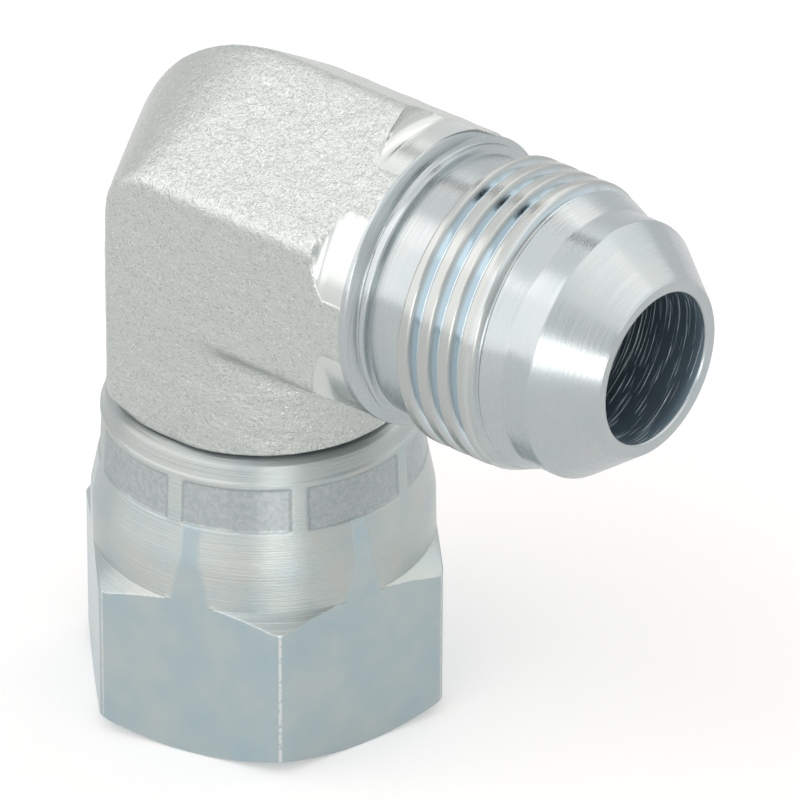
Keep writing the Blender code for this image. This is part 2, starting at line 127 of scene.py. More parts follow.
def forging_field(x, y, z):
    """Below zero inside the forging, above it outside, in millimetres: the greater of the flat sides, the
    back's and the belly's sloping faces, joined at the crook with the round upright arm, less what the
    turning tools took. The second result is 1 where a turning tool's cut is the nearest face."""
    level = z - AXIS_HEIGHT
    ridge_y = np.sqrt(y * y + RIDGE_SOFTNESS)
    back = ridge_y * math.sin(ROOF_TILT) + heel_distance(x, level) * math.cos(ROOF_TILT) - ROOF_REACH
    belly = ridge_y * math.sin(ROOF_TILT) - level * math.cos(ROOF_TILT) - ROOF_REACH
    flat = np.abs(y) - SIDE_REACH
    radius = np.hypot(x, y)
    foot = FOOT_HEIGHT - z + radius - FOOT_RADIUS
    upright = np.maximum(np.hypot(np.maximum(x, 0), y) - BOSS_RADIUS, foot)
    crook = -soft_max(-upright, -belly, CROOK_SOFTNESS)
    bend = soft_max(soft_max(back, crook, EDGE_SOFTNESS), flat, EDGE_SOFTNESS)
    boss = radius - BOSS_RADIUS + np.maximum(z - BOSS_TOP, 0) * BOSS_TAPER
    boss = soft_max(np.maximum(np.maximum(boss, z - BOSS_END), foot), flat, EDGE_SOFTNESS)
    away = (x - UNFILLED_X) ** 2 + (level - UNFILLED_LEVEL) ** 2
    unfilled = UNFILLED_DEPTH * np.exp(-away / UNFILLED_REACH ** 2)
    skin = -soft_max(-bend, -boss, FOOT_SOFTNESS) + WAVE_HEIGHT * waviness(x, y, z) + unfilled
    across = np.hypot(y, level) - COLLAR_RADIUS - CUT_RADIUS
    cut = CUT_RADIUS - np.hypot(np.minimum(x - CUT_START, 0), np.minimum(across, 0))
    return np.maximum(skin, cut), np.clip(0.5 + (cut - skin) / CUT_EDGE, 0, 1)


def fan_sections(rows, columns):
    """The forged skin, from the foot's circle to the collar's. Its sections all pass through one line at
    the crook and turn about it from level to upright. In each, a ray goes out from a middle point at every
    angle, and halving its length again and again finds where it leaves the metal."""
    share = np.linspace(0, 1, rows)
    tilt = np.interp(share, FAN_SHARES, FAN_TILTS)[:, None]
    turn = np.linspace(0, 2 * np.pi, columns, endpoint=False)[None, :]
    rise = AXIS_HEIGHT - FOOT_HEIGHT
    reach = COLLAR_BACK + (rise - COLLAR_BACK) * tilt / (np.pi / 2)
    out_x, out_z = -np.cos(tilt), np.sin(tilt)
    low, high = np.zeros((rows, columns)), np.full((rows, columns), SEARCH_REACH)
    for _ in range(SEARCH_STEPS):
        middle = (low + high) / 2
        along = reach + middle * np.cos(turn)
        x, y, z = COLLAR_BACK + along * out_x, middle * np.sin(turn), FOOT_HEIGHT + along * out_z
        outside = forging_field(x, y, z)[0] > 0
        low, high = np.where(outside, low, middle), np.where(outside, middle, high)
    return np.stack([x, y, z], axis=-1), forging_field(x, y, z)[1]


def drilled_half(rows, columns):
    """The level half of the crossing holes, from the collar's plane to the plane where both halves meet:
    a cylinder, then the cone that the drill's point leaves. Both stop where x equals minus the height."""
    turn = np.linspace(0, 2 * np.pi, columns, endpoint=False)
    up = np.cos(turn)
    coned = BORE_RADIUS * up > DRILL_PAST
    wall_end = np.where(coned, -DRILL_PAST, -BORE_RADIUS * up)
    cone = (BORE_RADIUS + DRILL_SLOPE * DRILL_PAST) / (1 + DRILL_SLOPE * up)
    tip_radius = np.where(coned, cone, BORE_RADIUS)
    share = np.linspace(0, 1, rows)[:, None]
    x = COLLAR_BACK + (wall_end - COLLAR_BACK) * share
    x = np.concatenate([x, (-tip_radius * up)[None, :]])
    radius = np.concatenate([np.full((rows, columns), BORE_RADIUS), tip_radius[None, :]])
    return np.stack([x, radius * np.sin(turn), AXIS_HEIGHT + radius * up], axis=-1)


def put_in_scene(name, data):
    """An object of that name in the scene, which holds a mesh, a lamp or a camera."""
    piece = bpy.data.objects.new(name, data)
    bpy.context.scene.collection.objects.link(piece)
    return piece


def closed_skin(name, points, round_length, path_length):
    """A mesh of one closed sheet. points holds rows x columns x 3 coordinates; each row closes on itself
    and the last row joins the first. The faces are turned outwards by the sign of the volume they hold.
    The map "surface" gives millimetres round the rows and along the columns."""
    rows, columns = points.shape[:2]
    place = (points + np.array([NUT_AXIS_X, 0, 0])) * MM
    row, column = np.meshgrid(np.arange(rows), np.arange(columns), indexing="ij")
    next_row, next_column = (row + 1) % rows, (column + 1) % columns
    corners = np.stack(
        [row * columns + column, row * columns + next_column, next_row * columns + next_column,
         next_row * columns + column], axis=-1).reshape(-1, 4)
    u = np.stack([column, column + 1, column + 1, column], axis=-1) / columns * round_length
    v = np.stack([row, row, row + 1, row + 1], axis=-1) / rows * path_length
    flat = place.reshape(-1, 3)
    a, b, c, d = (flat[corners[:, k]] for k in range(4))
    volume = np.einsum("ij,ij->", a, np.cross(b, c) + np.cross(c, d))
    mapped = np.stack([u, v], axis=-1).reshape(-1, 4, 2)
    if volume < 0:
        corners, mapped = corners[:, ::-1], mapped[:, ::-1]
    mesh = bpy.data.meshes.new(name)
    mesh.vertices.add(rows * columns)
    mesh.vertices.foreach_set("co", flat.ravel())
    mesh.loops.add(corners.size)
    mesh.loops.foreach_set("vertex_index", corners.ravel())
    mesh.polygons.add(len(corners))
    mesh.polygons.foreach_set("loop_start", np.arange(len(corners)) * 4)
    mesh.update(calc_edges=True)
    mesh.uv_layers.new(name="surface").uv.foreach_set("vector", mapped.ravel())
    mesh.shade_smooth()
    mesh.set_sharp_from_angle(angle=SHARP_ANGLE)
    return put_in_scene(name, mesh)


def mark(piece, name, values):
    """Gives a skin's points a named value, from its first row on. The rows after the last one get 0."""
    whole = np.zeros(len(piece.data.vertices), np.float32)
    whole[:values.size] = values.ravel()
    piece.data.attributes.new(name, "FLOAT", "POINT").data.foreach_set("value", whole)


def srgb(colour):
    """An sRGB hex colour as linear red, green and blue, with an alpha of 1."""
    parts = [int(colour[k:k + 2], 16) / 255 for k in (1, 3, 5)]
    return (*[p / 12.92 if p <= 0.04045 else ((p + 0.055) / 1.055) ** 2.4 for p in parts], 1)


def add_node(tree, kind, settings=(), links=()):
    """A shader node. settings holds its properties and its inputs' values, and links its inputs' sources."""
    node = tree.nodes.new(kind)
    for key, value in dict(settings).items():
        if isinstance(key, int) or key in node.inputs:
            node.inputs[key].default_value = value
        else:
            setattr(node, key, value)
    for key, source in dict(links).items():
        tree.links.new(source, node.inputs[key])
    return node


def plated_metal(name):
    """A metallic material. Returns it, its node tree and its shader."""
    material = bpy.data.materials.new(name)
    material.use_nodes = True
    shader = material.node_tree.nodes["Principled BSDF"]
    shader.inputs["Metallic"].default_value = 1.0
    return material, material.node_tree, shader


skin, turned = fan_sections(SKIN_ROWS, SKIN_COLUMNS)
level_half = drilled_half(BORE_ROWS, SKIN_COLUMNS)
# The upright hole is the level one with its x and its height swapped, and it ends at the foot.
upright_half = level_half[::-1].copy()
upright_half[..., 0] = AXIS_HEIGHT - level_half[::-1, :, 2]
upright_half[..., 2] = np.maximum(AXIS_HEIGHT - level_half[::-1, :, 0], FOOT_HEIGHT)
body_rows = np.concatenate([skin, level_half, upright_half[1:]])
forging = closed_skin("forged_elbow", body_rows, round_length=66.0, path_length=70.0)
mark(forging, "turned", turned)

# Shot-blasted, zinc-plated forging: matt, slightly greenish grey, covered in worm-like pits whose sides
# glint. The finest of them are too small to show, so all are drawn 0.2 mm across. The pits are painted a
# little darker, as painted shade in their hollows, and pale flecks are painted glints. The tool's hollows
# are smooth, paler and faintly lined. A scale is the number of patterns in a metre.
PIT_SCALE = 5000.0
SWELL_SCALE = 900.0                         # unevenness of the blasting, 1.1 mm across
TOOL_LINE_SCALE = (6000.0, 250.0, 250.0)    # lines 0.17 mm apart and 4 mm long, round the arm
GLINT_SIZE = (0.00012, 0.0003, 0.00012)     # of the painted glints, in metres
FORGING_BUMP = 0.00006
blasted, tree, shader = plated_metal("shot_blasted_zinc_plate")
place = add_node(tree, "ShaderNodeTexCoord")
pits = add_node(tree, "ShaderNodeTexNoise", {"Scale": PIT_SCALE, "Detail": 2.0, "Roughness": 0.55,
                                             "Distortion": 0.9}, {"Vector": place.outputs["Object"]})
swells = add_node(tree, "ShaderNodeTexNoise", {"Scale": SWELL_SCALE, "Detail": 2.0},
                  {"Vector": place.outputs["Object"]})
cut_mask = add_node(tree, "ShaderNodeAttribute", {"attribute_name": "turned"})
tool_stretch = add_node(tree, "ShaderNodeMapping", {"Scale": TOOL_LINE_SCALE},
                        {"Vector": place.outputs["Object"]})
tool_lines = add_node(tree, "ShaderNodeTexNoise", {"Scale": 1.0, "Detail": 2.0},
                      {"Vector": tool_stretch.outputs["Vector"]})
plateau = add_node(tree, "ShaderNodeMapRange", {"From Min": 0.36, "From Max": 0.46,
                                                "interpolation_type": "SMOOTHSTEP"},
                   {"Value": pits.outputs["Fac"]})
soft = add_node(tree, "ShaderNodeMath", {"operation": "MULTIPLY_ADD", 1: 0.9},
                {0: pits.outputs["Fac"], 2: swells.outputs["Fac"]})
relief = add_node(tree, "ShaderNodeMath", {"operation": "MULTIPLY_ADD", 1: 0.1},
                  {0: plateau.outputs["Result"], 2: soft.outputs["Value"]})
# Painted glints: small pale flecks in the colour that stand in for glints of light.
glint_grain = add_node(tree, "ShaderNodeMapping", {"vector_type": "TEXTURE", "Rotation": (0.5, 0.7, 0.3),
                                                   "Scale": GLINT_SIZE},
                       {"Vector": place.outputs["Object"]})
glint_noise = add_node(tree, "ShaderNodeTexNoise", {"Scale": 1.0, "Detail": 1.0},
                       {"Vector": glint_grain.outputs["Vector"]})
painted_glints = add_node(tree, "ShaderNodeMapRange", {"From Min": 0.62, "From Max": 0.7, "To Max": 0.75},
                  {"Value": glint_noise.outputs["Fac"]})
faint_lines = add_node(tree, "ShaderNodeMath", {"operation": "MULTIPLY", 1: 0.15},
                       {0: tool_lines.outputs["Fac"]})
height = add_node(tree, "ShaderNodeMix", {"data_type": "FLOAT"},
                  {0: cut_mask.outputs["Fac"], 2: relief.outputs["Value"], 3: faint_lines.outputs["Value"]})
bump = add_node(tree, "ShaderNodeBump", {"Distance": FORGING_BUMP}, {"Height": height.outputs[0]})
tree.links.new(bump.outputs["Normal"], shader.inputs["Normal"])
# The pits get the darker tint and the plateau the paler one: painted shade in the pits' hollows.
tint = add_node(tree, "ShaderNodeMix", {"data_type": "RGBA", 6: srgb("#a6adab"), 7: srgb("#b6bbb8")},
                {0: plateau.outputs["Result"]})
tint = add_node(tree, "ShaderNodeMix", {"data_type": "RGBA", 7: srgb("#d2d7d4")},
                {0: painted_glints.outputs["Result"], 6: tint.outputs[2]})
bright = add_node(tree, "ShaderNodeMix", {"data_type": "RGBA", 7: srgb("#c3c8c6")},
                  {0: cut_mask.outputs["Fac"], 6: tint.outputs[2]})
tree.links.new(bright.outputs[2], shader.inputs["Base Color"])
polish = add_node(tree, "ShaderNodeMapRange", {"To Min": 0.34, "To Max": 0.24},
                  {"Value": cut_mask.outputs["Fac"]})
tree.links.new(polish.outputs["Result"], shader.inputs["Roughness"])

# Drilled passage: bare-looking and dark blue-grey, with sparse scratches round it that the drill's chips
# left, painted pale as a painted glint along each. The real ones are too fine for the render, so they are
# drawn 0.12 mm wide and 5 mm long.
SCRATCH_SIZE = (0.00012, 0.005, 0.005)
SCRATCH_BUMP = 0.00012
drilled, tree, shader = plated_metal("drilled_steel")
shader.inputs["Roughness"].default_value = 0.5
place = add_node(tree, "ShaderNodeTexCoord")
wound = add_node(tree, "ShaderNodeMapping", {"vector_type": "TEXTURE", "Rotation": (0.0, 0.12, 0.16),
                                             "Scale": SCRATCH_SIZE},
                 {"Vector": place.outputs["Object"]})
scratches = add_node(tree, "ShaderNodeTexNoise", {"Scale": 1.0, "Detail": 2.0, "Roughness": 0.6},
                     {"Vector": wound.outputs["Vector"]})
# The scratches' mask drives their bump, and also a pale tint that is a painted glint along them.
scratches_and_glints = add_node(tree, "ShaderNodeMapRange", {"From Min": 0.59, "From Max": 0.68},
                   {"Value": scratches.outputs["Fac"]})
shade = add_node(tree, "ShaderNodeMix", {"data_type": "RGBA", 6: srgb("#8094a0"), 7: srgb("#d6dbda")},
                 {0: scratches_and_glints.outputs["Result"]})
tree.links.new(shade.outputs[2], shader.inputs["Base Color"])
bump = add_node(tree, "ShaderNodeBump", {"Distance": SCRATCH_BUMP}, {"Height": scratches_and_glints.outputs["Result"]})
tree.links.new(bump.outputs["Normal"], shader.inputs["Normal"])


def paint(piece, rows, materials, bands):
    """Gives a skin its materials. Each band is (first row, material number), and runs to the next one."""
    for material in materials:
        piece.data.materials.append(material)
    number = np.zeros(rows, np.int32)
    for first, material_number in bands:
        number[first:] = material_number
    piece.data.polygons.foreach_set("material_index", np.repeat(number, len(piece.data.polygons) // rows))


paint(forging, len(body_rows), [blasted, drilled], [(0, 0), (SKIN_ROWS, 1)])
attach(forging, "elbow")
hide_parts("elbow_body")

# Turned end. The arm's end is turned to a collar, a narrow step and a relief, then a rolled-off 3/4-16
# thread with a long lead-in slope, and the nose: a plain land and the 37 degree cone round the bore.
PITCH = 25.4 / 16
THREAD_RADIUS = 9.5
THREAD_ROOT = 8.82
ROOT_HALF = 0.06            # half the width of the groove's flat root
THREAD_SLOPE = math.tan(math.radians(60))   # rise of the flank for each millimetre along the axis
GROOVE_PLACE = 18.81        # centre of the groove below the axis
END_FACE = 31.75
END_RADIUS = 5.775
END_COLUMNS = 352
EDGE_BREAK = 0.05           # half the width over which a turned edge is broken
EDGE_SAMPLES = 5
THREAD_FROM, THREAD_TO = 18.3, 24.4         # where the thread's own tints are
THREAD_FADE = 0.4
TURNED_PROFILE = np.array([     # (distance along the arm, radius)
    (COLLAR_BACK, COLLAR_RADIUS), (15.27, COLLAR_RADIUS), (15.38, 9.14), (15.84, 9.14), (15.95, 8.60),
    (18.30, 8.60), (18.85, THREAD_RADIUS), (23.70, THREAD_RADIUS), (26.30, 8.45), (28.20, 8.45),
    (END_FACE - 0.08, END_RADIUS + 0.06), (END_FACE, END_RADIUS - 0.05)])
END_STRETCHES = [               # (where rows start, how many), closer where the profile bends
    (14.3, 32), (16.05, 8), (18.2, 180), (26.45, 6), (28.1, 6), (28.3, 10), (31.6, 4)]
END_MOUTH = np.array([          # end face and the broken edge of the bore
    (END_FACE, END_RADIUS - 0.1), (END_FACE, BORE_RADIUS + 0.16), (END_FACE - 0.06, BORE_RADIUS + 0.06),
    (END_FACE - 0.2, BORE_RADIUS)])
END_BORE_ROWS = 9


def row_places(stretches, end):
    """Where the rows of a skin lie: evenly in each stretch, and the last one runs to the end."""
    starts = [start for start, _ in stretches]
    parts = [np.linspace(start, stop, steps, endpoint=False)
             for (start, steps), stop in zip(stretches, [*starts[1:], end])]
    return np.concatenate([*parts, [end]])


def step_between(value, low, high, softness):
    """1 between two limits and 0 outside, with smooth ramps as wide as the softness."""
    rise = np.clip((value - low) / softness + 0.5, 0, 1)
    fall = np.clip((high - value) / softness + 0.5, 0, 1)
    return rise * rise * (3 - 2 * rise) * fall * fall * (3 - 2 * fall)


def threaded_radius(x, turn):
    """Radius of the turned end at a distance along the arm and an angle from straight up: the plain
    profile, or the thread's groove where that is deeper. The groove is a V with a narrow flat root whose
    centre moves one pitch along for each turn. The mean over a short stretch breaks the sharp edges. The
    second result is 0 off the thread, 0.5 on its crests and 1 at its root."""
    centre = GROOVE_PLACE + PITCH * ((math.pi - turn) / (2 * math.pi))
    total = 0
    offsets = np.linspace(-EDGE_BREAK, EDGE_BREAK, EDGE_SAMPLES)
    for offset in offsets:
        at = np.clip(x + offset, COLLAR_BACK, END_FACE)
        plain = np.interp(at, TURNED_PROFILE[:, 0], TURNED_PROFILE[:, 1])
        away = np.abs((at - centre + PITCH / 2) % PITCH - PITCH / 2)
        groove = THREAD_ROOT + np.maximum(away - ROOT_HALF, 0) * THREAD_SLOPE
        total = total + np.minimum(plain, groove)
    radius = total / len(offsets)
    on_thread = step_between(x, THREAD_FROM, THREAD_TO, THREAD_FADE)
    depth = np.clip((THREAD_RADIUS - radius) / (THREAD_RADIUS - THREAD_ROOT), 0, 1)
    return radius, on_thread * (0.5 + 0.5 * depth)


def turned_end(columns):
    """The turned end as one closed sheet: out along the threaded profile, in over the end face, and back
    along the bore to the collar's plane."""
    stations = row_places(END_STRETCHES, END_FACE)
    turn = np.linspace(0, 2 * np.pi, columns, endpoint=False)
    radius, thread_place = threaded_radius(stations[:, None], turn[None, :])
    bore_x = np.linspace(END_FACE - 1, COLLAR_BACK, END_BORE_ROWS)
    x = np.concatenate([stations, END_MOUTH[:, 0], bore_x])
    inner_radius = np.concatenate([END_MOUTH[:, 1], np.full(END_BORE_ROWS, BORE_RADIUS)])
    radius = np.concatenate([radius, np.repeat(inner_radius[:, None], columns, axis=1)])
    points = np.stack([np.repeat(x[:, None], columns, axis=1), radius * np.sin(turn),
                       AXIS_HEIGHT + radius * np.cos(turn)], axis=-1)
    return points, thread_place


end_points, thread_place = turned_end(END_COLUMNS)
male_end = closed_skin("turned_male_end", end_points, round_length=60.0, path_length=50.0)
mark(male_end, "thread_place", thread_place)

# Turned and zinc plated: bright steel with fine tool lines round the axis. The thread's crests look cream
# and its smooth flanks light blue, as thin clear plating does.
LATHE_LINE_SCALE = (9000.0, 130.0, 130.0)   # lines 0.11 mm apart and 8 mm long
TURNED_CLOUD_SCALE = 350.0                  # clouds in the plating, 3 mm across
LATHE_LINE_BUMP = 0.000012
turned_plate, tree, shader = plated_metal("turned_zinc_plate")
shader.inputs["Anisotropic"].default_value = 0.7
shader.inputs["Anisotropic Rotation"].default_value = 0.25
axis = add_node(tree, "ShaderNodeTangent", {"direction_type": "RADIAL", "axis": "X"})
tree.links.new(axis.outputs["Tangent"], shader.inputs["Tangent"])
place = add_node(tree, "ShaderNodeTexCoord")
stretch = add_node(tree, "ShaderNodeMapping", {"Scale": LATHE_LINE_SCALE},
                   {"Vector": place.outputs["Object"]})
lines = add_node(tree, "ShaderNodeTexNoise", {"Scale": 1.0, "Detail": 3.0, "Roughness": 0.65},
                 {"Vector": stretch.outputs["Vector"]})
cloud = add_node(tree, "ShaderNodeTexNoise", {"Scale": TURNED_CLOUD_SCALE, "Detail": 3.0},
                 {"Vector": place.outputs["Object"]})
on_thread = add_node(tree, "ShaderNodeAttribute", {"attribute_name": "thread_place"})
plain = add_node(tree, "ShaderNodeMix", {"data_type": "RGBA", 6: srgb("#a2adb1"), 7: srgb("#b1b5b4")},
                 {0: cloud.outputs["Fac"]})
to_crest = add_node(tree, "ShaderNodeMapRange", {"From Max": 0.5}, {"Value": on_thread.outputs["Fac"]})
to_root = add_node(tree, "ShaderNodeMapRange", {"From Min": 0.56, "From Max": 0.8},
                   {"Value": on_thread.outputs["Fac"]})
crest = add_node(tree, "ShaderNodeMix", {"data_type": "RGBA", 7: srgb("#abafad")},
                 {0: to_crest.outputs["Result"], 6: plain.outputs[2]})
flank = add_node(tree, "ShaderNodeMix", {"data_type": "RGBA", 7: srgb("#becbd1")},
                 {0: to_root.outputs["Result"], 6: crest.outputs[2]})
tree.links.new(flank.outputs[2], shader.inputs["Base Color"])
haze = add_node(tree, "ShaderNodeMapRange", {"From Min": 0.3, "From Max": 0.7, "To Min": 0.2,
                                             "To Max": 0.34}, {"Value": lines.outputs["Fac"]})
smooth = add_node(tree, "ShaderNodeMix", {"data_type": "FLOAT", 3: 0.12},
                  {0: to_root.outputs["Result"], 2: haze.outputs["Result"]})
tree.links.new(smooth.outputs[0], shader.inputs["Roughness"])
line_depth = add_node(tree, "ShaderNodeMapRange", {"To Min": 1.0, "To Max": 0.25},
                      {"Value": to_root.outputs["Result"]})
bump = add_node(tree, "ShaderNodeBump", {"Distance": LATHE_LINE_BUMP},
                {"Height": lines.outputs["Fac"], "Strength": line_depth.outputs["Result"]})
tree.links.new(bump.outputs["Normal"], shader.inputs["Normal"])

bore_start = len(end_points) - END_BORE_ROWS - 1
paint(male_end, len(end_points), [turned_plate, drilled], [(0, 0), (bore_start, 1)])
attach(male_end, "elbow")

# Tail. The upright arm goes on inside the nut as a neck and a shoulder, and ends in the 37 degree seat.
# It is turned and plated like the male end, and only shows in the thin gap and from below.
TAIL_PROFILE = np.array([       # (radius, height) of the neck, the shoulder, the seat and the bore
    (7.95, FOOT_HEIGHT), (7.95, 18.22), (9.30, 16.87), (9.30, 13.0), (9.0, 12.7), (8.40, 12.7),
    (BORE_RADIUS, 12.7 + (8.40 - BORE_RADIUS) / math.tan(math.radians(37))), (BORE_RADIUS, FOOT_HEIGHT)])


def turned_rows(profile, step, columns):
    """A profile of (radius, height) points turned about the nut's axis, with its stretches divided so that
    no row is further than a step from the next."""
    rows = []
    for start, end in zip(profile[:-1], profile[1:]):
        parts = max(1, math.ceil(np.hypot(*(end - start)) / step))
        rows.append(start + (end - start) * np.linspace(0, 1, parts, endpoint=False)[:, None])
    rows = np.concatenate([*rows, profile[-1:]])
    turn = np.linspace(0, 2 * np.pi, columns, endpoint=False)
    radius, height = rows[:, :1], rows[:, 1:]
    return np.stack([radius * np.cos(turn), radius * np.sin(turn), height + 0 * turn], axis=-1)


tail_points = turned_rows(TAIL_PROFILE, step=0.5, columns=160)
tail = closed_skin("tail_and_seat", tail_points, round_length=55.0, path_length=30.0)
paint(tail, len(tail_points), [turned_plate], [(0, 0)])
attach(tail, "elbow")

# Swivel nut, outside. Cut from drawn hexagon bar, 22.2 mm across its flats. Its barrel and both ends of the
# six corners are turned, and eight jaws crimped the top in over the tail's shoulder. The lip is drawn
# 0.25 mm higher than in the CAD, for the narrow gap that the real one leaves under the forging.
HEX_REACH = 11.1125         # axis to flat
HEX_TURN = math.radians(15)     # direction of one corner
HEX_CORNER_ROUND = 0.2
CHAMFER_SLOPE = math.tan(math.radians(30))
FOOT_FACE_RADIUS = 11.05
BARREL_HEIGHTS = [11.38, 14.3, 16.9, 20.50, 20.60, 21.50, 21.66, 21.74, 21.88, 22.0]
BARREL_RADII = [11.19, 11.135, 10.62, 10.43, 10.33, 10.13, 10.05, 9.92, 9.6, 9.2]
JAWS = 8
JAW_TURN = math.radians(8)      # direction of one of the narrow ribs between the jaws
JAW_RIB = math.radians(6.2)
JAW_LOW, JAW_HIGH, JAW_DEPTH = 17.0, 20.1, 0.11
JAW_FADE = 0.035                # radians over which a panel's side slopes
JAW_SLOPE = 0.35                # height over which its ends do
STRIP_HALF = math.radians(3.3)  # the flats run up the barrel as narrow strips, as far as the jaws' panels
STRIP_FADE = 0.008              # radians
FLAT_FADE = 0.03                # depth over which a flat's finish gives way to the turned one
CORNER_HALF, CORNER_FADE = 0.008, 0.004     # of the nicked line along a corner, with its painted highlight, in radians
LIP_HEIGHT = BARREL_HEIGHTS[-1]
NECK_HOLE_RADIUS = 8.25
WALL_RADIUS = 9.9           # inside the metal, where the nut's outer and inner skins meet
NUT_COLUMNS = 720
CROWDING = 0.06             # radians by which columns move towards the corners
NUT_STRETCHES = [           # (where rows start, how many), closer where the outside bends
    (0, 14), (1.1, 8), (9.4, 34), (11.4, 12), (16.6, 10), (17.3, 6), (19.8, 12), (20.7, 5), (21.5, 13)]
LIP_AND_HOLE = np.array([   # (radius, height) from the lip through the neck's hole to the foot's face
    (8.9, LIP_HEIGHT), (8.4, 21.85), (NECK_HOLE_RADIUS, 21.6), (NECK_HOLE_RADIUS, 18.4),
    (WALL_RADIUS, 18.0), (WALL_RADIUS, 0.0)])


def nut_radius(turn, height):
    """Radius of the nut's outside at an angle and a height: the least of the hexagon, the barrel and the
    chamfer cones at its foot and top, less the jaws' panels. The other results are 1 where the hexagon's
    drawn flats show, 1 on the panels, and 1 along the six nicked corners, which also carry a painted
    highlight."""
    from_flat = (turn - HEX_TURN) % (math.pi / 3) - math.pi / 6
    corner = HEX_REACH / math.cos(math.pi / 6)
    hexagon = HEX_REACH / np.cos(from_flat)
    hexagon = -soft_max(-hexagon, HEX_CORNER_ROUND - corner, HEX_CORNER_ROUND)
    foot = FOOT_FACE_RADIUS + height / CHAMFER_SLOPE
    cone = BARREL_RADII[0] + np.maximum(BARREL_HEIGHTS[0] - height, 0) / CHAMFER_SLOPE
    barrel = np.interp(height, BARREL_HEIGHTS, BARREL_RADII)
    turned_limit = np.minimum(foot, np.where(height < BARREL_HEIGHTS[0], cone, barrel))
    strip = step_between(from_flat, -STRIP_HALF, STRIP_HALF, STRIP_FADE) * (height < JAW_LOW)
    on_flat = np.maximum(np.clip(0.5 + (turned_limit - hexagon) / FLAT_FADE, 0, 1), strip)
    corner_nicks_and_highlight = step_between(np.abs(from_flat), math.pi / 6 - CORNER_HALF, math.pi, CORNER_FADE)
    corner_nicks_and_highlight = corner_nicks_and_highlight * (turned_limit > hexagon)
    from_rib = (turn - JAW_TURN) % (2 * math.pi / JAWS)
    panel = step_between(from_rib, JAW_RIB / 2, 2 * math.pi / JAWS - JAW_RIB / 2, JAW_FADE)
    panel = panel * step_between(height, JAW_LOW, JAW_HIGH, JAW_SLOPE)
    return np.minimum(hexagon, turned_limit) - panel * JAW_DEPTH, on_flat, panel, corner_nicks_and_highlight


def nut_outside(columns):
    """The nut's outer skin as one closed sheet: up the outside, over the lip, down the hole for the neck,
    and back down inside the metal to the foot's face."""
    outer_height = row_places(NUT_STRETCHES, LIP_HEIGHT)
    turn = np.linspace(0, 2 * np.pi, columns, endpoint=False)
    turn = turn - CROWDING * np.sin(6 * (turn - HEX_TURN))
    radius, on_flat, panel, corner_nicks_and_highlight = nut_radius(turn[None, :], outer_height[:, None])
    radius = np.concatenate([radius, np.repeat(LIP_AND_HOLE[:, :1], columns, axis=1)])
    height = np.concatenate([outer_height, LIP_AND_HOLE[:, 1]])[:, None]
    points = np.stack([radius * np.cos(turn), radius * np.sin(turn), height + 0 * turn], axis=-1)
    return points, on_flat, panel, corner_nicks_and_highlight


nut_points, on_flat, panel, corner_nicks_and_highlight = nut_outside(NUT_COLUMNS)
nut = closed_skin("swivel_nut_outside", nut_points, round_length=70.0, path_length=50.0)
mark(nut, "drawn_flat", on_flat)
mark(nut, "jaw_mark", panel)
mark(nut, "corner_nicks_and_highlight", corner_nicks_and_highlight)

# Zinc-plated drawn bar and turned barrel: the flats are smooth blue-grey with faint clouds, and the barrel
# is paler with fine rings that draw a highlight out along it. The jaws left darker, scuffed panels, with a
# ragged line of painted shade along their sunken edges. The crimped lip is darkened towards its top by
# painted shade under the forging, and the six corners are nicked, with a pale painted highlight along them.
NUT_RING_SCALE = (130.0, 130.0, 8000.0)     # rings 0.13 mm apart, in stretches 8 mm long
NUT_CLOUD_SCALE = 260.0                     # clouds 4 mm across
SCUFF_SCALE = 2900.0                        # 0.35 mm
NICK_SCALE = 3500.0                         # 0.3 mm
LIP_SHADE_FROM, LIP_SHADE_FULL = 20.3 * MM, 20.9 * MM   # heights between which the painted shade under the forging sets in on the lip
NUT_BUMP = 0.00005
nut_plate, tree, shader = plated_metal("satin_zinc_plate")
shader.inputs["Anisotropic"].default_value = 0.95
shader.inputs["Anisotropic Rotation"].default_value = 0.25
axis = add_node(tree, "ShaderNodeTangent", {"direction_type": "RADIAL", "axis": "Z"})
tree.links.new(axis.outputs["Tangent"], shader.inputs["Tangent"])
place = add_node(tree, "ShaderNodeTexCoord")
flat_mask = add_node(tree, "ShaderNodeAttribute", {"attribute_name": "drawn_flat"})
jaw_mask = add_node(tree, "ShaderNodeAttribute", {"attribute_name": "jaw_mark"})
stretch = add_node(tree, "ShaderNodeMapping", {"Scale": NUT_RING_SCALE},
                   {"Vector": place.outputs["Object"]})
rings = add_node(tree, "ShaderNodeTexNoise", {"Scale": 1.0, "Detail": 3.0, "Roughness": 0.6},
                 {"Vector": stretch.outputs["Vector"]})
cloud = add_node(tree, "ShaderNodeTexNoise", {"Scale": NUT_CLOUD_SCALE, "Detail": 5.0,
                                              "Roughness": 0.62},
                 {"Vector": place.outputs["Object"]})
scuff = add_node(tree, "ShaderNodeTexNoise", {"Scale": SCUFF_SCALE, "Detail": 4.0, "Roughness": 0.7,
                                              "Distortion": 0.2}, {"Vector": place.outputs["Object"]})
cloud_reach = add_node(tree, "ShaderNodeMapRange", {"From Min": 0.35, "From Max": 0.65},
                       {"Value": cloud.outputs["Fac"]})
flat_tint = add_node(tree, "ShaderNodeMix", {"data_type": "RGBA", 6: srgb("#a0b1b7"), 7: srgb("#adb7b6")},
                     {0: cloud_reach.outputs["Result"]})
barrel_tint = add_node(tree, "ShaderNodeMix", {"data_type": "RGBA", 6: srgb("#abb7b8"), 7: srgb("#b6bab6")},
                       {0: cloud_reach.outputs["Result"]})
scuff_reach = add_node(tree, "ShaderNodeMapRange", {"From Min": 0.38, "From Max": 0.66},
                       {"Value": scuff.outputs["Fac"]})
